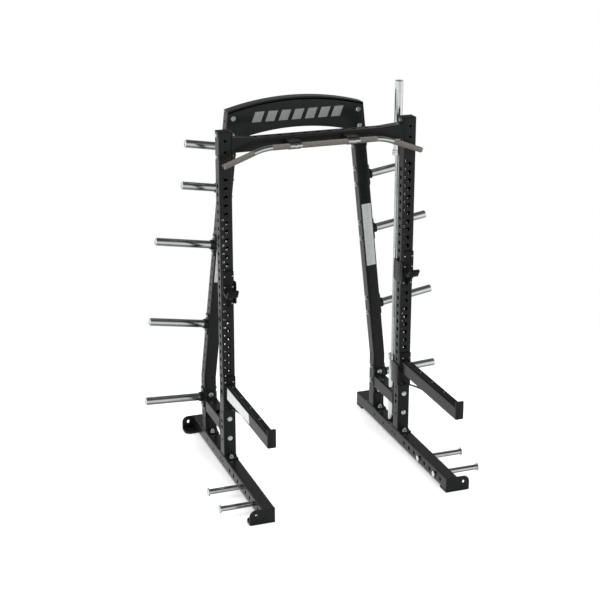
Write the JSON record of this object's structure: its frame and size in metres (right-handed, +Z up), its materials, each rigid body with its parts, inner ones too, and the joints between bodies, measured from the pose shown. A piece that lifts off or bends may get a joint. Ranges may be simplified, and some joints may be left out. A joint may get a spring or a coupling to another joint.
{
  "type": "half rack",
  "caption": "Black steel half rack with bar cups, spotter arms, a drooping chin-up bar, weight pegs and band pegs on both sides, and a barbell stood in its holder.",
  "frame": {"origin": "on the floor, on the rack's centre plane, midway between the tips of the spotter arms and the rear foot plates", "axes": "+X to the user's right as seen from the front, +Y to the back of the rack, +Z up"},
  "size_m": [1.9604, 1.4674, 2.2918],
  "materials": {
    "black_steel": "satin black powder coat",
    "chrome": "polished chrome plate",
    "zinc": "bright zinc plate",
    "black_plastic": "matt black wear plastic",
    "grip_steel": "rough grey grip coating over bright tube"
  },
  "bodies": {
    "rack": {"right_base_rail": "black_steel", "left_base_rail": "black_steel", "right_front_foot_plate": "black_steel", "left_front_foot_plate": "black_steel", "right_rear_foot_plate": "black_steel", "left_rear_foot_plate": "black_steel", "right_front_upright": "black_steel", "left_front_upright": "black_steel", "right_side_tie": "black_steel", "left_side_tie": "black_steel", "right_rear_upright": "black_steel", "left_rear_upright": "black_steel", "right_chin_bracket": "black_steel", "left_chin_bracket": "black_steel", "top_crossmember": "black_steel", "arched_panel": "black_steel", "right_band_peg_1": "chrome", "left_band_peg_1": "chrome", "right_band_peg_2": "chrome", "left_band_peg_2": "chrome", "right_weight_peg_1": "chrome", "left_weight_peg_1": "chrome", "right_weight_peg_2": "chrome", "left_weight_peg_2": "chrome", "right_weight_peg_3": "chrome", "left_weight_peg_3": "chrome", "right_weight_peg_4": "chrome", "left_weight_peg_4": "chrome", "right_weight_peg_5": "chrome", "left_weight_peg_5": "chrome", "right_cross_bolt_1": "zinc", "left_cross_bolt_1": "zinc", "right_cross_bolt_2": "zinc", "left_cross_bolt_2": "zinc", "right_panel_bolt_1": "zinc", "left_panel_bolt_1": "zinc", "right_panel_bolt_2": "zinc", "left_panel_bolt_2": "zinc", "right_upright_cap": "black_plastic", "left_upright_cap": "black_plastic", "chin_up_bar": "grip_steel"},
    "left_bar_cup": {"left_bar_cup": "black_steel", "left_bar_cup_liner": "black_plastic"},
    "right_bar_cup": {"right_bar_cup": "black_steel", "right_bar_cup_liner": "black_plastic"},
    "left_spotter_arm": {"left_spotter_arm": "black_steel", "left_spotter_liner": "black_plastic", "left_spotter_pad": "black_plastic"},
    "right_spotter_arm": {"right_spotter_arm": "black_steel", "right_spotter_liner": "black_plastic", "right_spotter_pad": "black_plastic"},
    "barbell_lower_sleeve": {"barbell_lower_sleeve": "chrome"},
    "barbell_shaft": {"barbell_shaft": "chrome"},
    "barbell_upper_sleeve": {"barbell_upper_sleeve": "chrome"}
  },
  "joints": [
    {"name": "left_bar_cup_pull", "type": "slide", "parent": "rack", "child": "left_bar_cup", "axis": [0, -1, 0], "range_m": [0, 0.11]},
    {"name": "right_bar_cup_pull", "type": "slide", "parent": "rack", "child": "right_bar_cup", "axis": [0, -1, 0], "range_m": [0, 0.11]},
    {"name": "left_spotter_arm_pull", "type": "slide", "parent": "rack", "child": "left_spotter_arm", "axis": [0, -1, 0], "range_m": [0, 0.11]},
    {"name": "right_spotter_arm_pull", "type": "slide", "parent": "rack", "child": "right_spotter_arm", "axis": [0, -1, 0], "range_m": [0, 0.11]},
    {"name": "barbell_lift", "type": "slide", "parent": "rack", "child": "barbell_lower_sleeve", "axis": [0, 0, 1], "range_m": [0, 0.24]},
    {"name": "lower_sleeve_spin", "type": "hinge", "parent": "barbell_lower_sleeve", "child": "barbell_shaft", "pos_m": [0.57155, 0.23135, 1], "axis": [0, 0, 1], "continuous": true},
    {"name": "upper_sleeve_spin", "type": "hinge", "parent": "barbell_shaft", "child": "barbell_upper_sleeve", "pos_m": [0.57155, 0.23135, 1], "axis": [0, 0, 1], "continuous": true}
  ]
}
